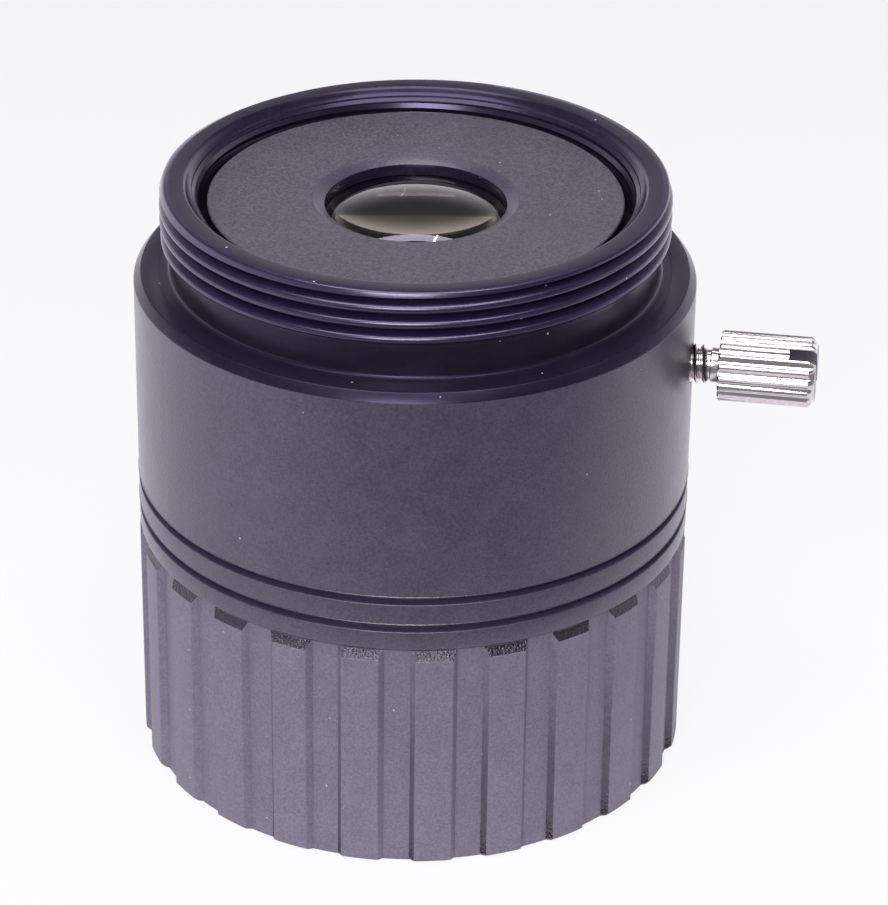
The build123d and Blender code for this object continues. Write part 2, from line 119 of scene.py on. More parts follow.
@dataclass(frozen=True)
class Anodised:
    """Black anodised aluminium, bead blasted or bright turned.

    The dyed oxide is a thin dark glassy layer, so it shades as a dark body with a clear gloss. Blasting
    gives it a fine even grain, and a turned face keeps the rings of the tool.
    """

    name: str
    body: str
    light_body: str
    roughness: float
    grain_mm: float
    grain_depth_mm: float
    specular_tint: str = "#FFFFFF"
    turning_mm: float = 0.0
    dust_share: float = 0.0
    mottle_mm: float = 2.5
    mottle_share: float = 0.5
    ior: float = 1.5
    dust_cell_mm: float = 1.1
    speck_mm: float = 0.055

    def build(self) -> Material:
        """Build the finish.

        Returns:
            The node material.
        """
        material, tree, place = new_material(self.name)
        grain = add_node(tree, "ShaderNodeTexNoise", {
            "Vector": place, "Scale": 1 / (self.grain_mm * MM), "Detail": 2.0, "Roughness": 0.6})
        mottle = add_node(tree, "ShaderNodeTexNoise", {
            "Vector": place, "Scale": 1 / (self.mottle_mm * MM), "Detail": 4.0, "Roughness": 0.6})
        patches = add_node(tree, "ShaderNodeMath", {
            0: mottle.outputs["Fac"], 1: self.mottle_share}, operation="MULTIPLY")
        blend = add_node(tree, "ShaderNodeMath", {
            0: grain.outputs["Fac"], 1: 1 - self.mottle_share, 2: patches}, operation="MULTIPLY_ADD")
        spread = add_node(tree, "ShaderNodeMapRange", {"Value": blend, "From Min": 0.35, "From Max": 0.65})
        colour = add_node(tree, "ShaderNodeMix", {
            0: spread, 6: linear(self.body), 7: linear(self.light_body)}, data_type="RGBA").outputs[2]
        rough = add_node(tree, "ShaderNodeMapRange", {
            "Value": mottle.outputs["Fac"], "From Min": 0.3, "From Max": 0.7,
            "To Min": self.roughness - 0.03, "To Max": self.roughness + 0.03}).outputs[0]
        if self.dust_share > 0:
            colour, rough = self.add_dust(tree, place, colour, rough)
        height = grain.outputs["Fac"]
        if self.turning_mm > 0:
            height = self.add_turning(tree, place, height)
        bump = add_node(tree, "ShaderNodeBump", {
            "Strength": 1.0, "Distance": self.grain_depth_mm * MM, "Height": height})
        shade = add_node(tree, "ShaderNodeBsdfPrincipled", {
            "Base Color": colour, "Roughness": rough, "IOR": self.ior,
            "Specular Tint": linear(self.specular_tint), "Normal": bump})
        add_node(tree, "ShaderNodeOutputMaterial", {0: shade})
        return material

    def add_dust(self, tree: NodeTree, place: NodeSocket, colour: NodeSocket,
                 rough: NodeSocket) -> tuple[NodeSocket, NodeSocket]:
        """Lay a few specks of pale dust on the finish.

        Args:
            tree: The material's nodes.
            place: The point on the piece.
            colour: The clean colour.
            rough: The clean roughness.

        Returns:
            The colour and roughness with the dust on them.
        """
        cells = add_node(tree, "ShaderNodeTexVoronoi", {"Vector": place, "Scale": 1 / (self.dust_cell_mm * MM)})
        pick = add_node(tree, "ShaderNodeSeparateColor", {0: cells.outputs["Color"]})
        chosen = add_node(tree, "ShaderNodeMath", {
            0: pick.outputs[0], 1: self.dust_share}, operation="LESS_THAN")
        near = add_node(tree, "ShaderNodeMath", {
            0: cells.outputs["Distance"], 1: self.speck_mm / self.dust_cell_mm}, operation="LESS_THAN")
        dust = add_node(tree, "ShaderNodeMath", {0: chosen, 1: near}, operation="MULTIPLY").outputs[0]
        dusty = add_node(tree, "ShaderNodeMix", {
            0: dust, 6: colour, 7: linear("#98949F")}, data_type="RGBA").outputs[2]
        dull = add_node(tree, "ShaderNodeMath", {0: rough, 1: dust}, operation="MAXIMUM").outputs[0]
        return dusty, dull

    def add_turning(self, tree: NodeTree, place: NodeSocket, height: NodeSocket) -> NodeSocket:
        """Add the fine rings that the turning tool leaves.

        Args:
            tree: The material's nodes.
            place: The point on the piece.
            height: The height of the grain.

        Returns:
            The height of grain and rings together.
        """
        parts = add_node(tree, "ShaderNodeSeparateXYZ", {0: place})
        across = add_node(tree, "ShaderNodeCombineXYZ", {0: parts.outputs[0], 1: parts.outputs[1]})
        out = add_node(tree, "ShaderNodeVectorMath", {0: across}, operation="LENGTH")
        level = add_node(tree, "ShaderNodeCombineXYZ", {0: out.outputs["Value"], 2: parts.outputs[2]})
        rings = add_node(tree, "ShaderNodeTexNoise", {
            "Vector": level, "Scale": 1 / (self.turning_mm * MM), "Detail": 1.0})
        return add_node(tree, "ShaderNodeMath", {
            0: rings.outputs["Fac"], 1: height}, operation="ADD").outputs[0]


@dataclass(frozen=True)
class Grained:
    """A finish of two grained colours: plated or ground metal, or dull nylon, acetal, rubber or paint."""

    name: str
    colour: str
    light_colour: str
    roughness: float
    grain_mm: float
    grain_depth_mm: float
    metal: bool = False

    def build(self) -> Material:
        """Build the finish.

        Returns:
            The node material.
        """
        material, tree, place = new_material(self.name)
        grain = add_node(tree, "ShaderNodeTexNoise", {
            "Vector": place, "Scale": 1 / (self.grain_mm * MM), "Detail": 3.0}).outputs["Fac"]
        colour = add_node(tree, "ShaderNodeMix", {
            0: grain, 6: linear(self.colour), 7: linear(self.light_colour)}, data_type="RGBA").outputs[2]
        bump = add_node(tree, "ShaderNodeBump", {
            "Strength": 1.0 if self.metal else 0.8, "Distance": self.grain_depth_mm * MM, "Height": grain})
        looks = {"Base Color": colour, "Roughness": self.roughness, "Normal": bump}
        if self.metal:
            looks["Metallic"] = 1.0
            looks["Roughness"] = add_node(tree, "ShaderNodeMapRange", {
                "Value": grain, "From Min": 0.3, "From Max": 0.7,
                "To Min": self.roughness + 0.06, "To Max": self.roughness - 0.04})
        add_node(tree, "ShaderNodeOutputMaterial", {0: add_node(tree, "ShaderNodeBsdfPrincipled", looks)})
        return material


@dataclass(frozen=True)
class CoatedGlass:
    """Optical glass with an anti-reflection coating, which leaves a faint coloured gloss."""

    name: str
    tint: str
    gloss_tint: str
    ior: float

    def build(self) -> Material:
        """Build the finish.

        Returns:
            The node material.
        """
        material, tree, place = new_material(self.name)
        haze = add_node(tree, "ShaderNodeTexNoise", {"Vector": place, "Scale": 1 / (1.5 * MM), "Detail": 3.0})
        rough = add_node(tree, "ShaderNodeMapRange", {
            "Value": haze.outputs["Fac"], "From Min": 0.3, "From Max": 0.7, "To Min": 0.0, "To Max": 0.02})
        shade = add_node(tree, "ShaderNodeBsdfPrincipled", {
            "Base Color": linear(self.tint), "Roughness": rough, "IOR": self.ior,
            "Transmission Weight": 1.0, "Specular Tint": linear(self.gloss_tint)})
        add_node(tree, "ShaderNodeOutputMaterial", {0: shade})
        return material


@dataclass
class FinishRack:
    """All the finishes, each built once."""

    def __post_init__(self) -> None:
        """Build every finish."""
        # Bead blasted: a soft dark grey with a lilac cast and a fine even grain.
        self.satin = Anodised("satin_black_anodised", "#2B2736", "#403A4B", 0.33, 0.12, 0.016,
                              dust_share=0.2, mottle_mm=1.4, mottle_share=0.3).build()
        # The ribs and the valleys between them, blasted coarser: paler and duller than the barrel.
        self.frosted = Anodised("frosted_black_anodised", "#4F4959", "#645E6F", 0.55, 0.12, 0.018,
                                dust_share=0.3, mottle_mm=1.4, mottle_share=0.3).build()
        # The ribs' sloped ends, cut after the blasting: darker, with a coarse sparkling grain.
        self.sparkle = Anodised("sparkling_black_anodised", "#050407", "#12101A", 0.30, 0.11, 0.055,
                                specular_tint="#E4DAF4", mottle_share=0.1, ior=1.75).build()
        # The cell's rear face is blasted coarser and stays matt, so that it throws no light at the sensor.
        self.matt = Anodised("matt_black_anodised", "#28262F", "#494652", 0.60, 0.13, 0.020,
                             dust_share=0.3, mottle_share=0.2).build()
        # Turned after the blasting: smoother and darker, with a purple cast.
        self.gloss = Anodised("gloss_black_anodised", "#15121D", "#1D1828", 0.24, 0.25, 0.0012,
                              specular_tint="#D6C4FF", turning_mm=0.05, dust_share=0.3, ior=1.42).build()
        # The screw-cut thread: the same colour, burnished by the tool to a brighter gloss.
        self.thread = Anodised("thread_black_anodised", "#170F26", "#1E1530", 0.24, 0.20, 0.002,
                               specular_tint="#E2D6F8", dust_share=0.5, ior=1.68).build()
        # The thread's relief and the flange's chamfer: darker and less glossy than the turned gloss, which is
        # painted shade.
        self.shaded_recess = Anodised("recess_black_anodised", "#120F19", "#1A1622", 0.30, 0.20, 0.002,
                               specular_tint="#D0C0FA", dust_share=0.3, ior=1.36).build()
        # The two narrow grooves, parted off last, glossy: their paler purple is painted light that lifts the
        # shade inside them.
        self.groove = Anodised("painted_light_groove_black_anodised", "#352D45", "#40374F", 0.40, 0.20, 0.002).build()
        # Nickel plate over rolled knurling: bright, slightly warm, with soft dull patches.
        self.nickel = Grained("nickel_plate", "#A8A0A2", "#CCC5C6", 0.20, 0.30, 0.004, True).build()
        # The same plate in the slot and on the end of the head, rougher where the cutter left it, and darker,
        # which is painted shade.
        self.shaded_dull_nickel = Grained("dull_nickel_plate", "#6E6A74", "#8A8690", 0.42, 0.25, 0.004, True).build()
        # Ground dowel pins: plain bright steel.
        self.steel = Grained("stainless_steel", "#AFADAA", "#C9C7C4", 0.30, 0.08, 0.001, True).build()
        # The two outer glasses: clear, a little smoky, with a lilac coating.
        self.glass = CoatedGlass("coated_glass", "#8F877C", "#F4EAFF", 1.57).build()
        # The inner glasses: a yellower crown glass with a green coating.
        self.crown_glass = CoatedGlass("coated_crown_glass", "#C9C2A4", "#E8FFB0", 1.60).build()
        # Matt black paint on thin sheet, dull moulded rubber, turned acetal and milky turned nylon.
        self.sheet = Grained("blackened_sheet", "#08080A", "#101012", 0.85, 0.05, 0.002).build()
        self.rubber = Grained("black_rubber", "#161616", "#1F1F20", 0.75, 0.08, 0.003).build()
        self.acetal = Grained("black_acetal", "#141416", "#1B1B1E", 0.45, 0.15, 0.001).build()
        self.nylon = Grained("white_nylon", "#D8D6CC", "#E4E2DA", 0.5, 0.2, 0.001).build()


# Mesh tools.


def turned(outline: Outline, rounds: Rounds | None = None, steps: int = 256, closed: bool = True) -> BMesh:
    """Turn an outline about the Z axis, with some of its corners rounded.

    Args:
        outline: Points of (radius, height) in millimetres.
        rounds: For a point's number, the length cut back from the corner and the number of segments.
        steps: Steps round the axis.
        closed: Whether the last point joins the first. An open outline starts and ends on the axis.

    Returns:
        The closed shell, in metres.
    """
    shell = bmesh.new()
    corners = [shell.verts.new((radius * MM, 0, height * MM)) for radius, height in outline]
    last = len(corners) if closed else len(corners) - 1
    for number in range(last):
        shell.edges.new((corners[number], corners[(number + 1) % len(corners)]))
    for number, (back, segments) in (rounds or {}).items():
        bmesh.ops.bevel(shell, geom=[corners[number]], offset=back * MM, offset_type="OFFSET", profile=0.5,
                        segments=segments, affect="VERTICES", material=-1, clamp_overlap=True)
    bmesh.ops.spin(shell, geom=shell.verts[:] + shell.edges[:], cent=(0, 0, 0), axis=(0, 0, 1), dvec=(0, 0, 0),
                   angle=FULL_TURN, steps=steps, use_merge=True, use_duplicate=False)
    bmesh.ops.remove_doubles(shell, verts=shell.verts[:], dist=1e-8)
    bmesh.ops.recalc_face_normals(shell, faces=shell.faces[:])
    return shell


def helix_ridge(section: Outline, pitch: float, start_z: float, turns: float, steps_per_turn: int,
                start_angle: float) -> BMesh:
    """Wind a closed thread section about the Z axis as one right-handed ridge, with both ends closed.

    Args:
        section: Points of (radius, height from the section's middle) in millimetres.
        pitch: Rise for a turn, in millimetres.
        start_z: Height of the section's middle at the start, in millimetres.
        turns: How many turns.
        steps_per_turn: Steps in a turn.
        start_angle: Angle of the start about Z, in degrees.

    Returns:
        The closed ridge, in metres.
    """
    ridge = bmesh.new()
    ring = [ridge.verts.new((radius * MM, 0, (start_z + height) * MM)) for radius, height in section]
    face = ridge.faces.new(ring)
    swing(ridge, start_angle)
    steps = round(turns * steps_per_turn)
    bmesh.ops.spin(ridge, geom=[face], cent=(0, 0, 0), axis=(0, 0, 1),
                   dvec=(0, 0, pitch * turns * MM / steps), angle=FULL_TURN * turns, steps=steps,
                   use_merge=False, use_duplicate=False)
    bmesh.ops.recalc_face_normals(ridge, faces=ridge.faces[:])
    return ridge


def rod(radius: float, start: float, end: float) -> BMesh:
    """Make a plain closed rod on the Z axis.

    Args:
        radius: Its radius in millimetres.
        start: Its lower end in millimetres.
        end: Its upper end in millimetres.

    Returns:
        The rod, in metres.
    """
    shell = bmesh.new()
    bmesh.ops.create_cone(shell, cap_ends=True, segments=48, radius1=radius * MM, radius2=radius * MM,
                          depth=(end - start) * MM)
    lift(shell, (start + end) / 2)
    return shell


def block(width: float, depth: float, height: float, middle: tuple[float, float, float]) -> BMesh:
    """Make a plain closed block.

    Args:
        width: Its size along X in millimetres.
        depth: Its size along Y in millimetres.
        height: Its size along Z in millimetres.
        middle: Its middle in millimetres.

    Returns:
        The block, in metres.
    """
    shell = bmesh.new()
    bmesh.ops.create_cube(shell, size=MM)
    bmesh.ops.scale(shell, verts=shell.verts[:], vec=(width, depth, height))
    bmesh.ops.translate(shell, verts=shell.verts[:], vec=Vector(middle) * MM)
    return shell


def swing(shell: BMesh, degrees: float, axis: str = "Z") -> None:
    """Turn a shell about an axis through the origin, by an angle in degrees."""
    turn = Matrix.Rotation(math.radians(degrees), 3, axis)
    bmesh.ops.rotate(shell, verts=shell.verts[:], cent=(0, 0, 0), matrix=turn)


def lift(shell: BMesh, height: float) -> None:
    """Move a shell up, by a height in millimetres."""
    bmesh.ops.translate(shell, verts=shell.verts[:], vec=(0, 0, height * MM))


def radius_of(vert: BMVert) -> float:
    """Distance of a vertex from the Z axis, in millimetres."""
    return math.hypot(vert.co.x, vert.co.y) / MM


def set_radius(vert: BMVert, radius: float) -> None:
    """Move a vertex to a distance from the Z axis, in millimetres."""
    scale = radius * MM / math.hypot(vert.co.x, vert.co.y)
    vert.co.x *= scale
    vert.co.y *= scale


def spot(face: BMFace) -> tuple[float, float]:
    """Distance of a face's middle from the Z axis and its height, in millimetres."""
    middle = face.calc_center_median()
    return math.hypot(middle.x, middle.y) / MM, middle.z / MM


def as_object(name: str, shell: BMesh) -> Object:
    """Put a shell in the scene as an object.

    Args:
        name: The object's name.
        shell: The mesh, which is freed.

    Returns:
        The object, at the origin.
    """
    mesh = bpy.data.meshes.new(name)
    shell.to_mesh(mesh)
    shell.free()
    thing = bpy.data.objects.new(name, mesh)
    bpy.context.scene.collection.objects.link(thing)
    return thing


def join(base: BMesh, *others: BMesh) -> BMesh:
    """Put several shells in one mesh.

    Args:
        base: The mesh that gets them.
        others: The meshes that go into it, and are freed.

    Returns:
        The base mesh.
    """
    for other in others:
        carrier = bpy.data.meshes.new("carrier")
        other.to_mesh(carrier)
        other.free()
        base.from_mesh(carrier)
        bpy.data.meshes.remove(carrier)
    return base


def cut(body: BMesh, cutter: BMesh) -> BMesh:
    """Cut one closed shell out of another.

    Args:
        body: The shell that is cut, and freed.
        cutter: The shell that is taken away, and freed.

    Returns:
        The new shell.
    """
    blanks = [as_object("blank", body), as_object("blank", cutter)]
    boolean = blanks[0].modifiers.new("cut", "BOOLEAN")
    boolean.operation = "DIFFERENCE"
    boolean.solver = "EXACT"
    boolean.object = blanks[1]
    bpy.context.view_layer.update()
    finished = bpy.data.meshes.new_from_object(blanks[0].evaluated_get(bpy.context.evaluated_depsgraph_get()))
    result = bmesh.new()
    result.from_mesh(finished)
    for blank in blanks:
        mesh = blank.data
        bpy.data.objects.remove(blank)
        bpy.data.meshes.remove(mesh)
    bpy.data.meshes.remove(finished)
    return result


@dataclass
class Piece:
    """A finished piece: the node that it replaces, its body and its material slot."""

    node: str
    body: str
    slot: str

    def finish(self, shell: BMesh, materials: list[Material], sharp_degrees: float = 32.0) -> None:
        """Make the piece's object, dress it and put it on its body.

        Args:
            shell: The mesh, which is freed.
            materials: Its materials, by the faces' material numbers.
            sharp_degrees: Edges that bend more than this stay sharp.
        """
        thing = as_object(f"{self.node}_dressed", shell)
        thing.data.shade_smooth()
        thing.data.set_sharp_from_angle(angle=math.radians(sharp_degrees))
        for material in materials:
            thing.data.materials.append(material)
        even = thing.modifiers.new("even_normals", "WEIGHTED_NORMAL")
        even.keep_sharp = True
        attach(thing, self.body)
        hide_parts(self.node)
        log.info("%s: %d faces", thing.name, len(thing.data.polygons))


# The lens.


@dataclass
class Levels:
    """Sizes that two or more pieces share, in millimetres."""

    rim_z: float = 4.62
    barrel_r: float = 14.0
    barrel_end_z: float = -10.99
    groove_floor_r: float = 13.5
    ring_top_z: float = -11.39
    band_end_z: float = -12.52
    second_groove_end_z: float = -12.92
    second_band_end_z: float = -13.88
    rib_top_z: float = -14.02
    foot_z: float = -26.40
    cell_bore_r: float = 10.33
    spigot_r: float = 12.0
    spigot_end_z: float = -16.23
    screw_z: float = -4.28
    lip: float = 0.028

    def lipped_end(self, end_z: float) -> Outline:
        """Outline of a plain wall's lower end, with its burnished lip, into the groove below it."""
        return [(self.barrel_r, end_z + 0.07), (self.barrel_r + self.lip, end_z + 0.035),
                (self.barrel_r - 0.03, end_z), (self.groove_floor_r, end_z)]


@dataclass
class MountBarrel:
    """Rear barrel: camera thread, relief, flange, satin outside, tapped hole and spigot."""

    finishes: FinishRack
    levels: Levels
    major_r: float = 12.65
    pitch: float = 25.4 / 32
    core_r: float = 12.17
    base_r: float = 12.08
    relief_r: float = 12.16
    relief_top_z: float = 1.6
    crest_round: float = 0.20
    flank_half: float = 0.385
    lowest_crest_z: float = 2.1525
    front_angle: float = -81.9
    start_share: float = 0.55
    thread_turns: float = 4.25
    run_out: float = 0.35
    rim_edge_r: float = 12.37
    rim_edge: Steps = ((0.055, 0.015), (0.10, 0.05), (0.13, 0.10), (0.19, 0.25))
    rim_bevel: float = 0.59
    bevel_steps: Steps = ((0.17, 0.14), (0.20, 0.23), (0.40, 0.38), (0.44, 0.47))
    rear_bore_r: float = 10.86
    bore_end_z: float = 1.87
    fine_pitch: float = 0.5
    flange_inner_r: float = 12.76
    flange_outer_r: float = 13.65
    undercut_z: float = -0.05
    chamfer_end_z: float = -0.44
    stop_slot_inner_r: float = 12.25
    stop_slot_outer_r: float = 13.25
    tapped_hole_r: float = 1.03

    def outline(self) -> tuple[Outline, Rounds]:
        """Outline of the barrel without its threads.

        Returns:
            The points, and the rounding of some of them.
        """
        lv = self.levels
        bore_r = self.rear_bore_r
        bevel_z = lv.rim_z - self.rim_bevel
        face_z = lv.ring_top_z + 0.02
        slot_roof_z = lv.ring_top_z + 1.02
        points = [(lv.cell_bore_r, self.bore_end_z), (bore_r, self.bore_end_z), (bore_r, bevel_z)]
        points += [(bore_r + out, bevel_z + rise) for out, rise in self.bevel_steps]
        points += [
            (bore_r + self.rim_bevel, lv.rim_z), (self.core_r, lv.rim_z), (self.core_r, lv.rim_z - 0.8),
            (self.relief_r, self.relief_top_z), (self.relief_r, self.undercut_z),
            (self.flange_inner_r, self.undercut_z), (self.flange_inner_r, 0.0), (self.flange_outer_r, 0.0),
            (lv.barrel_r, self.chamfer_end_z)]
        points += lv.lipped_end(lv.barrel_end_z)
        points += [
            (lv.groove_floor_r, face_z), (self.stop_slot_outer_r, face_z),
            (self.stop_slot_outer_r, slot_roof_z), (self.stop_slot_inner_r, slot_roof_z),
            (self.stop_slot_inner_r, face_z), (lv.spigot_r, face_z), (lv.spigot_r, lv.spigot_end_z),
            (lv.cell_bore_r, lv.spigot_end_z)]
        rounds = {7: (0.03, 3), 11: (0.22, 5), 13: (0.02, 2), 14: (0.04, 3), 15: (0.06, 4)}
        return points, rounds

    def rim_cutter(self) -> BMesh:
        """Make the room outside the rim's rounded edge, to trim the thread where it runs out at the rim.

        Returns:
            The turned cutter, in metres.
        """
        rim_z = self.levels.rim_z
        inner_r = self.base_r - 0.2
        outer_r = self.major_r + 0.60
        points = [(inner_r, rim_z - 0.002), (self.rim_edge_r, rim_z - 0.002)]
        points += [(self.rim_edge_r + out, rim_z - drop) for out, drop in self.rim_edge]
        points += [(self.major_r + 0.05, rim_z - 0.60), (outer_r, rim_z - 0.60), (outer_r, rim_z + 1.50),
                   (inner_r, rim_z + 1.50)]
        return turned(points, steps=320)

    def thread(self) -> BMesh:
        """Wind the camera thread, run it out in the relief and trim it at the rim.

        Returns:
            The thread's ridge, in metres.
        """
        crest_middle = self.major_r - self.crest_round
        half: Outline = [(self.base_r, -self.flank_half), (self.core_r, -self.flank_half)]
        for tilt in (-60, -45, -30, -15, 0):
            lean = math.radians(tilt)
            half.append((crest_middle + self.crest_round * math.cos(lean), self.crest_round * math.sin(lean)))
        section = half + [(radius, -height) for radius, height in reversed(half[:-1])]
        start_z = self.lowest_crest_z - self.pitch * self.start_share
        start_angle = self.front_angle - 360 * self.start_share
        ridge = helix_ridge(section, self.pitch, start_z, self.thread_turns, 240, start_angle)
        for vert in ridge.verts:
            turn_angle = math.degrees(math.atan2(vert.co.y, vert.co.x)) - start_angle
            rise = (turn_angle % 360) / 360 * self.pitch
            middle = start_z + rise + self.pitch * round((vert.co.z / MM - start_z - rise) / self.pitch)
            share = min(1.0, max(0.0, (middle - start_z) / (self.run_out * self.pitch)))
            radius = radius_of(vert)
            if radius > self.core_r:
                set_radius(vert, self.core_r + (radius - self.core_r) * share)
        ridge = cut(ridge, self.rim_cutter())
        bmesh.ops.recalc_face_normals(ridge, faces=ridge.faces[:])
        return ridge

    def bore_thread(self) -> BMesh:
        """Wind the fine thread inside the rear bore.

        Returns:
            The ridge, in metres.
        """
        wall = self.rear_bore_r
        section = [(wall + 0.06, -0.22), (wall - 0.01, -0.22), (wall - 0.13, 0.0), (wall - 0.01, 0.22),
                   (wall + 0.06, 0.22)]
        return helix_ridge(section, self.fine_pitch, self.bore_end_z + 0.24, 3.5, 180, 30.0)

    def build(self) -> None:
        """Build and dress the barrel."""
        lv = self.levels
        rack = self.finishes
        satin, gloss, threaded, lit_groove, recessed = range(5)
        points, rounds = self.outline()
        hole = rod(self.tapped_hole_r, lv.cell_bore_r - 1.5, lv.barrel_r + 1.5)
        swing(hole, 90, "Y")
        lift(hole, lv.screw_z)
        body = cut(turned(points, rounds, steps=320), hole)
        for face in body.faces:
            out, height = spot(face)
            on_relief = 0.01 < height < 1.8 and self.relief_r - 0.1 < out < 12.8
            on_chamfer = -0.43 < height < -0.01 and out > 13.6
            in_groove = height < -10.9 and lv.groove_floor_r - 0.05 < out < lv.barrel_r - 0.03
            if out > lv.barrel_r - 0.012 and height < -0.4:
                face.material_index = satin
            elif on_relief or on_chamfer:
                # The relief and the chamfer get the darker, less glossy finish: painted shade.
                face.material_index = recessed
            else:
                # Groove faces get the paler finish, painted light in their shade.
                face.material_index = lit_groove if in_groove else gloss
        ridge = self.thread()
        fine_ridge = self.bore_thread()
        for face in ridge.faces:
            face.material_index = threaded
        for face in fine_ridge.faces:
            face.material_index = gloss
        Piece("mount_barrel", "barrel", "satin_black_anodised").finish(
            join(body, ridge, fine_ridge), [rack.satin, rack.gloss, rack.thread, rack.groove, rack.shaded_recess])


@dataclass
class FocusingRing:
    """Focusing ring: two plain bands, a groove, 24 grip ribs and the foot that the lens stands on."""

    finishes: FinishRack
    levels: Levels
    rib_count: int = 24
    rib_phase: float = -1.5
    root_r: float = 13.70
    face_r: float = 14.03
    face_half: float = 1.83 / 2
    foot_half: float = 2.30 / 2
    neck_r: float = 13.66
    top_chamfer: float = 0.59
    foot_chamfer: float = 0.2
    bore_r: float = 13.0
    web_r: float = 12.05
    web_end_z: float = -14.49
    edge_round: float = 0.05

    def core(self) -> BMesh:
        """Turn the ring without its ribs.

        Returns:
            The core, in metres.
        """
        lv = self.levels
        points = [(self.web_r, lv.ring_top_z), (lv.barrel_r, lv.ring_top_z)] + lv.lipped_end(lv.band_end_z)
        points += [
            (lv.groove_floor_r, lv.second_groove_end_z), (lv.barrel_r, lv.second_groove_end_z),
            (lv.barrel_r, lv.second_band_end_z), (self.root_r, lv.second_band_end_z - 0.25),
            (self.root_r, lv.foot_z + 0.06), (self.root_r - 0.06, lv.foot_z), (self.bore_r + 0.25, lv.foot_z),
            (self.bore_r, lv.foot_z + 0.25), (self.bore_r, self.web_end_z), (self.web_r, self.web_end_z)]
        return turned(points, {1: (0.05, 3), 7: (0.05, 3), 8: (0.06, 3), 9: (0.08, 3)}, steps=300)

    def rib(self) -> BMesh:
        """Make one rib bar at the ribs' first place, with its sloped top and softened edges.

        Returns:
            The rib, in metres.
        """
        lv = self.levels
        sunk_r = self.root_r - 0.12
        face_steps = 4
        face_angle = math.asin(self.face_half / self.face_r)
        slope = (self.foot_half - self.face_half) / (self.face_r - self.root_r)
        sunk_half = self.foot_half + slope * (self.root_r - sunk_r)
        sunk_x = math.sqrt(sunk_r ** 2 - sunk_half ** 2)
        shell = bmesh.new()
        section = [shell.verts.new((sunk_x * MM, -sunk_half * MM, 0))]
        for step in range(face_steps + 1):
            angle = face_angle * (2 * step / face_steps - 1)
            section.append(shell.verts.new((self.face_r * math.cos(angle) * MM,
                                            self.face_r * math.sin(angle) * MM, 0)))
        section.append(shell.verts.new((sunk_x * MM, sunk_half * MM, 0)))
        face = shell.faces.new(section)
        toe_r = self.face_r - self.foot_chamfer
        for vert in shell.verts:
            vert.co.z = (lv.foot_z + 0.004) * MM
            if radius_of(vert) > toe_r:
                set_radius(vert, toe_r)
        raised = bmesh.ops.extrude_face_region(shell, geom=[face])["geom"]
        for vert in [item for item in raised if isinstance(item, BMVert)]:
            vert.co.z = (lv.foot_z + self.foot_chamfer) * MM
            if radius_of(vert) > toe_r - 0.001:
                set_radius(vert, self.face_r)
        ledge = [item for item in raised if isinstance(item, BMFace)]
        lifted = bmesh.ops.extrude_face_region(shell, geom=ledge)["geom"]
        for vert in [item for item in lifted if isinstance(item, BMVert)]:
            drop = (radius_of(vert) - self.neck_r) / (self.face_r - self.neck_r) * self.top_chamfer
            vert.co.z = (lv.rib_top_z - drop) * MM
        bmesh.ops.recalc_face_normals(shell, faces=shell.faces[:])
        corners = []
        for edge in shell.edges:
            outer = all(radius_of(vert) > self.root_r + 0.1 for vert in edge.verts)
            steep = len(edge.link_faces) == 2 and edge.calc_face_angle() > 0.3
            if steep and (outer or radius_of(edge.verts[0]) + radius_of(edge.verts[1]) > 2 * sunk_r + 0.1):
                corners.append(edge)
        bmesh.ops.bevel(shell, geom=corners, offset=self.edge_round * MM, offset_type="OFFSET", segments=2,
                        profile=0.5, affect="EDGES", material=-1, clamp_overlap=True)
        return shell

    def build(self) -> None:
        """Build and dress the ring."""
        lv = self.levels
        rack = self.finishes
        satin, gloss, sparkling, frosted, lit_groove = range(5)
        ribs = self.rib()
        swing(ribs, self.rib_phase)
        gaps = self.rib_count - 1
        bmesh.ops.spin(ribs, geom=ribs.faces[:], cent=(0, 0, 0), axis=(0, 0, 1), dvec=(0, 0, 0),
                       angle=FULL_TURN * gaps / self.rib_count, steps=gaps, use_duplicate=True)
        for face in ribs.faces:
            height = spot(face)[1]
            on_slope = height > lv.rib_top_z - self.top_chamfer + 0.03 and face.normal.z > 0.3
            face.material_index = sparkling if on_slope else frosted
        core = self.core()
        for face in core.faces:
            out, height = spot(face)
            in_groove = out < lv.barrel_r - 0.03 and height > lv.second_band_end_z + 0.1
            in_groove = in_groove or height > lv.ring_top_z - 0.06
            valley = height < lv.second_band_end_z - 0.12
            # Groove faces get the paler finish, painted light in their shade.
            if in_groove:
                face.material_index = lit_groove
            elif out < self.root_r - 0.3:
                face.material_index = gloss
            else:
                face.material_index = frosted if valley else satin
        Piece("focus_ring", "focusing_ring", "satin_black_anodised").finish(
            join(core, ribs), [rack.satin, rack.gloss, rack.sparkle, rack.frosted, rack.groove])


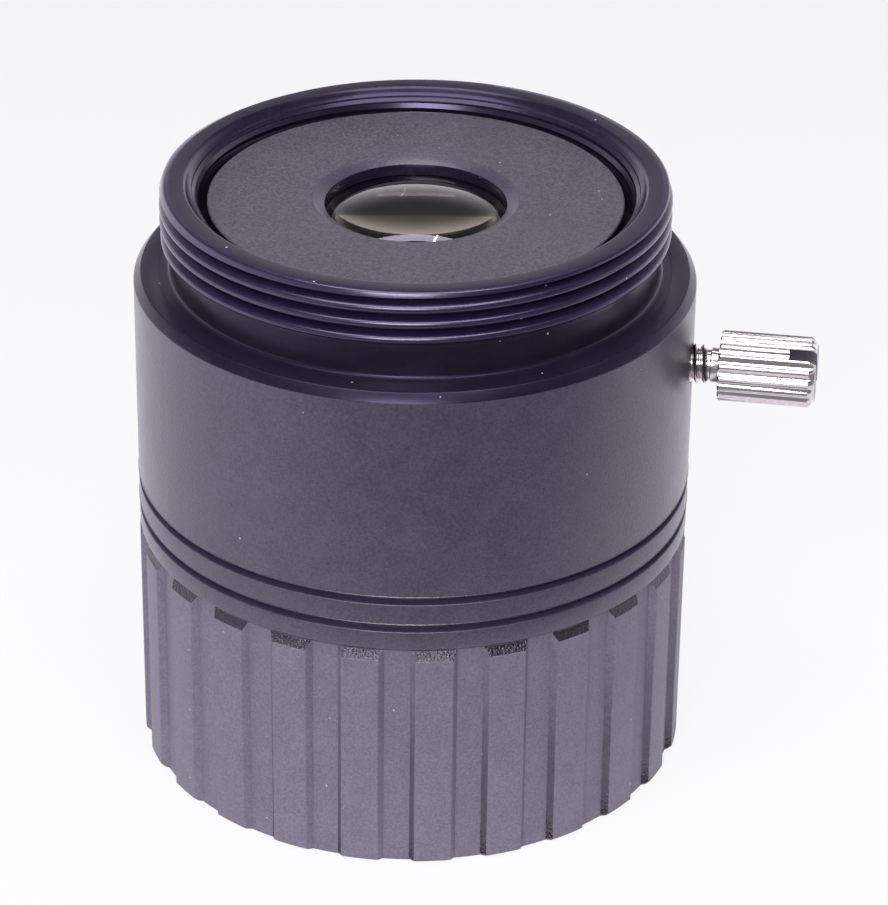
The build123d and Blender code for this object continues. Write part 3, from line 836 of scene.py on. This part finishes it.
@dataclass
class LensCell:
    """Lens cell: matt rear face with its bevelled hole, guided tube, threaded flange and nose."""

    finishes: FinishRack
    cell_r: float = 10.29
    rear_z: float = 3.69
    hole_r: float = 4.5
    hole_bevel: float = 0.68
    bevel_depth: float = 0.32
    seat_z: float = 2.79
    flange_r: float = 12.95
    flange_top_z: float = -16.68
    flange_end_z: float = -21.28
    nose_r: float = 12.0
    nose_end_z: float = -23.68
    clamp_bore_r: float = 9.63
    front_seat_z: float = -20.09
    front_bore_r: float = 8.63
    front_ledge_z: float = -16.85
    middle_bore_r: float = 7.63
    stop_seat_z: float = -8.50
    rear_bore_r: float = 6.23

    def build(self) -> None:
        """Build and dress the cell."""
        rack = self.finishes
        points = [
            (self.hole_r, self.seat_z), (self.hole_r, self.rear_z - self.bevel_depth),
            (self.hole_r + self.hole_bevel, self.rear_z), (self.cell_r, self.rear_z),
            (self.cell_r, self.flange_top_z), (self.flange_r, self.flange_top_z),
            (self.flange_r, self.flange_end_z), (self.nose_r, self.flange_end_z),
            (self.nose_r, self.nose_end_z), (self.clamp_bore_r, self.nose_end_z),
            (self.clamp_bore_r, self.front_seat_z), (self.front_bore_r, self.front_seat_z),
            (self.front_bore_r, self.front_ledge_z), (self.middle_bore_r, self.front_ledge_z),
            (self.middle_bore_r, self.stop_seat_z), (self.rear_bore_r, self.stop_seat_z),
            (self.rear_bore_r, self.seat_z)]
        rounds = {1: (0.04, 2), 2: (0.10, 3), 3: (0.10, 3), 5: (0.1, 2), 6: (0.1, 2), 7: (0.1, 3), 8: (0.15, 3),
                  9: (0.1, 2)}
        guide_slot = block(2.0, 1.3, 3.05, (-10.34, 0, -12.315))
        body = cut(turned(points, rounds), guide_slot)
        matt, gloss, satin = range(3)
        for face in body.faces:
            out, height = spot(face)
            on_bevel = height > self.rear_z - self.bevel_depth - 0.02 and self.hole_r + 0.01 < out < 6
            if height > self.rear_z - 0.11 and out > self.hole_r + self.hole_bevel - 0.2:
                face.material_index = matt
            elif on_bevel or height < -21.2:
                face.material_index = satin
            else:
                face.material_index = gloss
        Piece("lens_cell", "optics", "satin_black_anodised").finish(body, [rack.matt, rack.gloss, rack.satin])


class GlassSide(Enum):
    """The two sides of a glass, with the way each faces along the optical axis."""

    REAR = 1
    FRONT = -1


@dataclass
class GlassFace:
    """One face of a lens: its curve's radius, its clear radius and the height of its flat rim."""

    curve: float
    clear_r: float
    edge_z: float

    def points(self, side: GlassSide, steps: int = 24) -> Outline:
        """Points from the axis to the edge of the curved part.

        Args:
            side: The side of the glass that the face is on.
            steps: How many pieces the arc has.

        Returns:
            The points, from the axis outwards.
        """
        bend = abs(self.curve)
        way = side.value if self.curve > 0 else -side.value
        full = bend - math.sqrt(bend ** 2 - self.clear_r ** 2)
        found = []
        for step in range(steps + 1):
            radius = self.clear_r * step / steps
            fall = bend - math.sqrt(bend ** 2 - radius ** 2)
            found.append((radius, self.edge_z + way * (full - fall)))
        return found


@dataclass
class OuterGlass:
    """A polished glass with a ground rim."""

    node: str
    edge_r: float
    rear: GlassFace
    front: GlassFace

    def build(self, material: Material) -> None:
        """Build and dress the glass.

        Args:
            material: Its coated glass.
        """
        outline = self.rear.points(GlassSide.REAR)
        outline += [(self.edge_r, self.rear.edge_z), (self.edge_r, self.front.edge_z)]
        outline += list(reversed(self.front.points(GlassSide.FRONT)))
        Piece(self.node, "optics", "coated_glass").finish(turned(outline, steps=128, closed=False), [material])


@dataclass
class GlassStack:
    """The two outer glasses, and the finishes of the glasses between them."""

    finishes: FinishRack

    def build(self) -> None:
        """Build the rear and front glasses, and dress the others."""
        rear = OuterGlass("rear_element", 6.2, GlassFace(12.0, 4.47, 2.77), GlassFace(30.0, 5.3, 1.17))
        front = OuterGlass("front_element", 8.6, GlassFace(-14.0, 6.6, -16.87), GlassFace(22.0, 7.6, -20.07))
        for glass in (rear, front):
            glass.build(self.finishes.glass)
        for node in ("doublet_crown", "doublet_flint", "second_element"):
            dress_node(node, self.finishes.crown_glass)


@dataclass
class FrontClamp:
    """Retaining ring in front of the glass, with a stepped opening and two notches."""

    finishes: FinishRack
    outer_r: float = 9.6
    inner_r: float = 7.4
    top_z: float = -20.61
    end_z: float = -23.31
    funnel: float = 1.5
    funnel_steps: int = 5

    def build(self) -> None:
        """Build and dress the ring."""
        points = [(self.inner_r, self.top_z), (self.outer_r, self.top_z), (self.outer_r, self.end_z)]
        for step in range(self.funnel_steps + 1):
            share = step / self.funnel_steps
            radius = self.inner_r + self.funnel * (1 - share)
            height = self.end_z + self.funnel * share
            points.append((radius, height))
            if step < self.funnel_steps:
                points.append((radius - 0.04, height + 0.18))
        notches = block(22, 1.0, 1.2, (0, 0, self.end_z))
        shell = cut(turned(points, {2: (0.06, 2)}, steps=192), notches)
        Piece("front_retaining_ring", "optics", "gloss_black_anodised").finish(shell, [self.finishes.gloss])


@dataclass
class LockScrew:
    """Focus lock screw: threaded shank, neck, and a straight-knurled head with a driver slot."""

    finishes: FinishRack
    levels: Levels
    tip: float = 10.95
    pad_bore_r: float = 0.43
    pad_bore_end: float = 11.46
    thread_end: float = 14.97
    head_start: float = 15.39
    head_end: float = 20.19
    head_r: float = 1.77
    neck_r: float = 0.90
    crest_r: float = 1.0
    root_r: float = 0.78
    pitch: float = 0.4
    knurl_count: int = 19
    knurl_depth: float = 0.14
    knurl_share: float = 0.72
    slot_width: float = 0.64
    slot_depth: float = 1.35
    slot_angle: float = 35.0

    def blank(self) -> BMesh:
        """Turn the shank with its pad bore, the neck and the plain head.

        Returns:
            The blank along Z, in metres.
        """
        points = [
            (0, self.pad_bore_end), (self.pad_bore_r, self.pad_bore_end), (self.pad_bore_r, self.tip),
            (self.root_r, self.tip), (self.root_r, self.thread_end - 0.05),
            (self.neck_r, self.thread_end + 0.03), (self.neck_r, self.head_start),
            (self.head_r - 0.08, self.head_start), (self.head_r, self.head_start + 0.08),
            (self.head_r, self.head_end - 0.33), (self.head_r - 0.17, self.head_end - 0.165),
            (self.head_r - 0.33, self.head_end), (0, self.head_end)]
        return turned(points, {6: (0.06, 2), 11: (0.05, 2)}, steps=self.knurl_count * 10, closed=False)

    def knurl(self, shell: BMesh) -> None:
        """Roll the straight knurl into the head.

        Args:
            shell: The blank, changed in place.
        """
        for vert in shell.verts:
            radius = radius_of(vert)
            if vert.co.z / MM < self.head_start - 0.001 or radius < self.head_r - 0.2:
                continue
            turn = math.atan2(vert.co.y, vert.co.x) / FULL_TURN * self.knurl_count
            apart = abs((turn % 1) - 0.5) * 2
            groove = max(0.0, 1 - apart / self.knurl_share)
            floor = self.head_r - self.knurl_depth * min(1.0, groove * 1.25)
            crown = 0.02 * max(0.0, apart - self.knurl_share) / 0.28
            set_radius(vert, min(radius, floor - 0.02 + crown))

    def thread(self) -> BMesh:
        """Wind the shank's thread.

        Returns:
            The ridge along Z, in metres.
        """
        half = self.pitch * 0.46
        section = [(self.root_r - 0.06, -half), (self.root_r + 0.005, -half), (self.crest_r - 0.03, -0.05),
                   (self.crest_r, 0.0), (self.crest_r - 0.03, 0.05), (self.root_r + 0.005, half),
                   (self.root_r - 0.06, half)]
        turns = (self.thread_end - self.tip - self.pitch) / self.pitch
        return helix_ridge(section, self.pitch, self.tip + self.pitch / 2, turns, 48, 0.0)

    def build(self) -> None:
        """Build and dress the screw."""
        shell = self.blank()
        self.knurl(shell)
        slot = block(2 * (self.head_r + 1), self.slot_width, 2 * self.slot_depth, (0, 0, self.head_end))
        swing(slot, self.slot_angle)
        shell = cut(shell, slot)
        bright, dull = range(2)
        for face in shell.faces:
            out, height = spot(face)
            in_slot = abs(face.normal.z) < 0.05 and out <= self.head_r - 0.30
            on_end = height > self.head_end - 0.01
            # The slot and the end of the head get the darker plate, painted shade.
            face.material_index = dull if height > self.head_start + 0.2 and (in_slot or on_end) else bright
        shell = join(shell, self.thread())
        swing(shell, 90, "Y")
        lift(shell, self.levels.screw_z)
        Piece("thumbscrew", "lock_screw", "nickel_plate").finish(
            shell, [self.finishes.nickel, self.finishes.shaded_dull_nickel], sharp_degrees=28.0)


def dress_node(node: str, material: Material) -> None:
    """Give a carried-over solid its finish.

    Args:
        node: The node's name.
        material: The finish.
    """
    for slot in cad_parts[node].material_slots:
        slot.material = material
    log.info("%s dressed with %s", node, material.name)


@dataclass
class InnerParts:
    """The small parts inside, which keep their solids and get their finishes."""

    finishes: FinishRack

    def build(self) -> None:
        """Dress every carried-over solid."""
        rack = self.finishes
        for node in ("rear_spacer", "doublet_spacer", "front_spacer", "ring_lock_nut"):
            dress_node(node, rack.gloss)
        for node in ("guide_pin", "stop_pin"):
            dress_node(node, rack.steel)
        dress_node("aperture_stop", rack.sheet)
        dress_node("front_seal", rack.rubber)
        dress_node("thrust_washer", rack.acetal)
        dress_node("lock_pad", rack.nylon)


# The studio.


@dataclass
class Lamp:
    """A soft rectangular lamp that looks at the lens from a direction and a distance.

    Its angles are in degrees and its distance and sides in metres.
    """

    name: str
    azimuth: float
    elevation: float
    distance: float
    width: float
    height: float
    watts: float
    colour: str = "#FFFFFF"

    def build(self) -> None:
        """Hang the lamp."""
        data = bpy.data.lights.new(self.name, "AREA")
        data.shape = "RECTANGLE"
        data.size = self.width
        data.size_y = self.height
        data.energy = self.watts
        data.color = linear(self.colour)[:3]
        turn = math.radians(self.azimuth)
        rise = math.radians(self.elevation)
        way = Vector((math.sin(turn) * math.cos(rise), -math.cos(turn) * math.cos(rise), math.sin(rise)))
        thing = bpy.data.objects.new(self.name, data)
        thing.location = way * self.distance
        thing.rotation_euler = way.to_track_quat("Z", "Y").to_euler()
        bpy.context.scene.collection.objects.link(thing)


@dataclass
class Studio:
    """Camera, floor, lamps and surroundings. Lengths here are in metres and angles in degrees."""

    levels: Levels
    place: tuple[float, float, float] = (0.02709, -0.17179, 0.08536)
    heading: float = 8.452
    pitch: float = 28.914
    roll: float = 0.7458
    focal_mm: float = 154.77
    fill_turn: float = 20.0
    floor_r: float = 1.5
    covered_r: float = 0.0299

    def camera(self) -> None:
        """Set up the camera at the photograph's place, heading, pitch and roll."""
        turn = math.radians(self.heading)
        dip = math.radians(self.pitch)
        ahead = Vector((-math.sin(turn) * math.cos(dip), math.cos(turn) * math.cos(dip), -math.sin(dip)))
        across = ahead.cross(Vector((0, 0, 1))).normalized()
        upward = across.cross(ahead).normalized()
        lean = math.radians(self.roll)
        right = across * math.cos(lean) + upward * math.sin(lean)
        above = upward * math.cos(lean) - across * math.sin(lean)
        data = bpy.data.cameras.new("camera")
        data.lens = self.focal_mm
        data.sensor_width = 36.0
        data.sensor_fit = "AUTO"
        data.clip_start = 0.005
        data.dof.use_dof = False
        thing = bpy.data.objects.new("camera", data)
        basis = Matrix((right, above, -ahead)).transposed().to_4x4()
        thing.matrix_world = Matrix.Translation(Vector(self.place)) @ basis
        bpy.context.scene.collection.objects.link(thing)
        bpy.context.scene.camera = thing

    def forward(self, degrees: float = 0.0) -> tuple[float, float, float]:
        """Level direction from the lens to the camera, or turned from there by an angle."""
        turn = math.radians(self.heading + degrees)
        return math.sin(turn), -math.cos(turn), 0

    def floor(self) -> None:
        """Lay the pale floor.

        The camera sees its plain white, with painted shade a little greyer far behind the lens. What it throws
        on the lens falls off towards the front, and the paper that the lens covers throws nothing up through
        the glass.
        """
        shell = bmesh.new()
        bmesh.ops.create_circle(shell, cap_ends=True, segments=96, radius=self.floor_r)
        lift(shell, self.levels.foot_z - 0.01)
        material, tree, place = new_material("white_paper")
        rays = add_node(tree, "ShaderNodeLightPath").outputs["Is Camera Ray"]
        nearness = add_node(tree, "ShaderNodeVectorMath", {
            0: place, 1: self.forward()}, operation="DOT_PRODUCT").outputs["Value"]
        view_tone = add_node(tree, "ShaderNodeMapRange", {
            "Value": nearness, "From Min": -0.10, "From Max": 0.015})
        view_colour = add_node(tree, "ShaderNodeMix", {
            0: view_tone, 6: linear("#EFEFF1"), 7: linear("#F9F9FA")}, data_type="RGBA").outputs[2]
        seen = add_node(tree, "ShaderNodeEmission", {"Color": view_colour, "Strength": 1.0})
        fill_nearness = add_node(tree, "ShaderNodeVectorMath", {
            0: place, 1: self.forward(self.fill_turn)}, operation="DOT_PRODUCT").outputs["Value"]
        thrown = add_node(tree, "ShaderNodeMapRange", {
            "Value": fill_nearness, "From Min": 0.024, "From Max": 0.048,
            "To Min": 1.55, "To Max": 0.27}, interpolation_type="SMOOTHSTEP")
        soft = add_node(tree, "ShaderNodeEmission", {"Color": linear("#F6F1FB"), "Strength": thrown})
        light = add_node(tree, "ShaderNodeMixShader", {0: rays, 1: soft, 2: seen})
        paper = add_node(tree, "ShaderNodeBsdfDiffuse", {"Color": linear("#F4F2F6")})
        reach = add_node(tree, "ShaderNodeVectorMath", {0: place}, operation="LENGTH").outputs["Value"]
        open_floor = add_node(tree, "ShaderNodeMapRange", {
            "Value": reach, "From Min": self.covered_r, "From Max": self.covered_r + 0.0005})
        shining = add_node(tree, "ShaderNodeMath", {0: open_floor, 1: rays}, operation="MAXIMUM")
        share = add_node(tree, "ShaderNodeMath", {0: shining, 1: 0.93}, operation="MULTIPLY")
        mix = add_node(tree, "ShaderNodeMixShader", {0: share, 1: paper, 2: light})
        add_node(tree, "ShaderNodeOutputMaterial", {0: mix})
        thing = as_object("floor", shell)
        thing.data.materials.append(material)

    def surroundings(self) -> None:
        """Fill the room: white to the camera, and for the lens pale low down and dim above and in front."""
        world = bpy.data.worlds.new("pale_room")
        world.use_nodes = True
        tree = world.node_tree
        tree.nodes.clear()
        way = add_node(tree, "ShaderNodeTexCoord").outputs["Generated"]
        rise = add_node(tree, "ShaderNodeSeparateXYZ", {0: way}).outputs[2]
        nearness = add_node(tree, "ShaderNodeVectorMath", {
            0: way, 1: self.forward(self.fill_turn)}, operation="DOT_PRODUCT").outputs["Value"]
        by_height = add_node(tree, "ShaderNodeMapRange", {
            "Value": rise, "From Min": 0.0, "From Max": 0.55,
            "To Min": 2.00, "To Max": 0.22}, interpolation_type="SMOOTHSTEP")
        by_side = add_node(tree, "ShaderNodeMapRange", {
            "Value": nearness, "From Min": 0.1, "From Max": 0.9,
            "To Min": 1.0, "To Max": 0.16}, interpolation_type="SMOOTHSTEP")
        strength = add_node(tree, "ShaderNodeMath", {0: by_height, 1: by_side}, operation="MULTIPLY")
        soft = add_node(tree, "ShaderNodeBackground", {"Color": linear("#F6F4FA"), "Strength": strength})
        white = add_node(tree, "ShaderNodeBackground", {"Color": linear("#F5F5F7"), "Strength": 1.0})
        rays = add_node(tree, "ShaderNodeLightPath").outputs["Is Camera Ray"]
        mix = add_node(tree, "ShaderNodeMixShader", {0: rays, 1: soft, 2: white})
        add_node(tree, "ShaderNodeOutputWorld", {0: mix})
        bpy.context.scene.world = world

    def build(self) -> None:
        """Set up the whole studio."""
        self.camera()
        self.floor()
        self.surroundings()
        Lamp("softbox", 0.0, 78.0, 0.45, 0.42, 0.26, 2.4).build()
        Lamp("key", 2.0, 34.0, 0.45, 0.20, 0.15, 2.0).build()
        Lamp("back_strip", 189.0, 60.0, 0.5, 0.36, 0.04, 0.30, "#F6F0FF").build()
        Lamp("tube", 176.0, 62.0, 0.6, 0.008, 0.12, 0.066, "#FFFBE8").build()
        bpy.context.scene.view_settings.view_transform = "Standard"


def main() -> None:
    """Build the studio and the lens, piece by piece."""
    logging.basicConfig(level=logging.INFO, format="%(name)s: %(message)s")
    levels = Levels()
    finishes = FinishRack()
    Studio(levels).build()
    MountBarrel(finishes, levels).build()
    FocusingRing(finishes, levels).build()
    LensCell(finishes).build()
    GlassStack(finishes).build()
    FrontClamp(finishes).build()
    LockScrew(finishes, levels).build()
    InnerParts(finishes).build()


if __name__ == "__main__":
    main()
